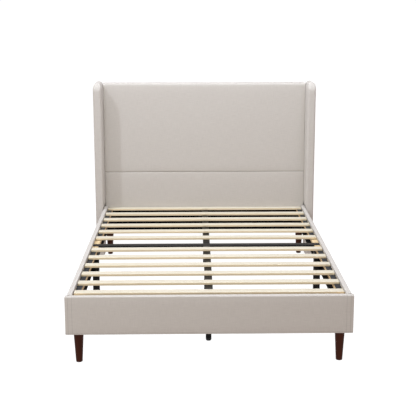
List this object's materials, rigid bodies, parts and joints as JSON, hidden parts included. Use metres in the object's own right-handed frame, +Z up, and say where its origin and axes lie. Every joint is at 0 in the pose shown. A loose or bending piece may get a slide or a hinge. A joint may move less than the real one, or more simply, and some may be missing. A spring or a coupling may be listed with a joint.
{
  "type": "upholstered headboard bed",
  "caption": "Platform bed for a full-size mattress, with a padded wingback headboard, padded rails, a slatted base on a steel centre frame, and tapered wooden legs.",
  "frame": {"origin": "on the floor, at the bottom centre of the whole bed", "axes": "+X right as seen from the foot, +Y from the foot towards the headboard, +Z up"},
  "size_m": [1.51, 1.9904, 1.225],
  "materials": {
    "linen": "woven, matte",
    "black_cloth": "non-woven, matte",
    "foam": "open cell, matte",
    "plywood": "raw",
    "slat_wood": "planed, raw",
    "ledger_wood": "planed, raw",
    "webbing": "ribbed, matte",
    "black_steel": "powder coat, satin",
    "zinc_steel": "zinc plated",
    "walnut": "stained and lacquered",
    "black_plastic": "moulded"
  },
  "bodies": {
    "frame": {"headboard_upper_cover": "linen", "headboard_lower_cover": "linen", "wing_left_cover": "linen", "wing_right_cover": "linen", "side_rail_left_cover": "linen", "side_rail_right_cover": "linen", "foot_rail_cover": "linen", "headboard_back_cloth": "black_cloth", "headboard_upper_foam": "foam", "headboard_lower_foam": "foam", "headboard_upper_board": "plywood", "headboard_lower_board": "plywood", "headboard_bottom_rail": "plywood", "wing_left_board": "plywood", "wing_right_board": "plywood", "side_rail_left_board": "plywood", "side_rail_right_board": "plywood", "foot_rail_board": "plywood", "slat_01": "slat_wood", "slat_02": "slat_wood", "slat_03": "slat_wood", "slat_04": "slat_wood", "slat_05": "slat_wood", "slat_06": "slat_wood", "slat_07": "slat_wood", "slat_08": "slat_wood", "slat_09": "slat_wood", "slat_10": "slat_wood", "slat_11": "slat_wood", "slat_12": "slat_wood", "ledger_left_front": "ledger_wood", "ledger_left_rear": "ledger_wood", "ledger_right_front": "ledger_wood", "ledger_right_rear": "ledger_wood", "corner_block_left": "ledger_wood", "corner_block_right": "ledger_wood", "webbing_left_front": "webbing", "webbing_left_rear": "webbing", "webbing_right_front": "webbing", "webbing_right_rear": "webbing", "crossbar": "black_steel", "centre_beam_front": "black_steel", "centre_beam_rear": "black_steel", "centre_leg_front": "black_steel", "centre_leg_middle": "black_steel", "centre_leg_rear": "black_steel", "crossbar_leg_left": "black_steel", "crossbar_leg_right": "black_steel", "rear_bracket_left": "zinc_steel", "rear_bracket_right": "zinc_steel", "leg_front_left": "walnut", "leg_front_right": "walnut", "leg_rear_left": "walnut", "leg_rear_right": "walnut"},
    "centre_leg_front_glide": {"centre_leg_front_glide": "black_plastic"},
    "centre_leg_middle_glide": {"centre_leg_middle_glide": "black_plastic"},
    "centre_leg_rear_glide": {"centre_leg_rear_glide": "black_plastic"},
    "crossbar_leg_left_glide": {"crossbar_leg_left_glide": "black_plastic"},
    "crossbar_leg_right_glide": {"crossbar_leg_right_glide": "black_plastic"}
  },
  "joints": [
    {"name": "centre_leg_front_screw", "type": "slide", "parent": "frame", "child": "centre_leg_front_glide", "axis": [0, 0, -1], "range_m": [0, 0.015]},
    {"name": "centre_leg_middle_screw", "type": "slide", "parent": "frame", "child": "centre_leg_middle_glide", "axis": [0, 0, -1], "range_m": [0, 0.015]},
    {"name": "centre_leg_rear_screw", "type": "slide", "parent": "frame", "child": "centre_leg_rear_glide", "axis": [0, 0, -1], "range_m": [0, 0.015]},
    {"name": "crossbar_leg_left_screw", "type": "slide", "parent": "frame", "child": "crossbar_leg_left_glide", "axis": [0, 0, -1], "range_m": [0, 0.015]},
    {"name": "crossbar_leg_right_screw", "type": "slide", "parent": "frame", "child": "crossbar_leg_right_glide", "axis": [0, 0, -1], "range_m": [0, 0.015]}
  ]
}
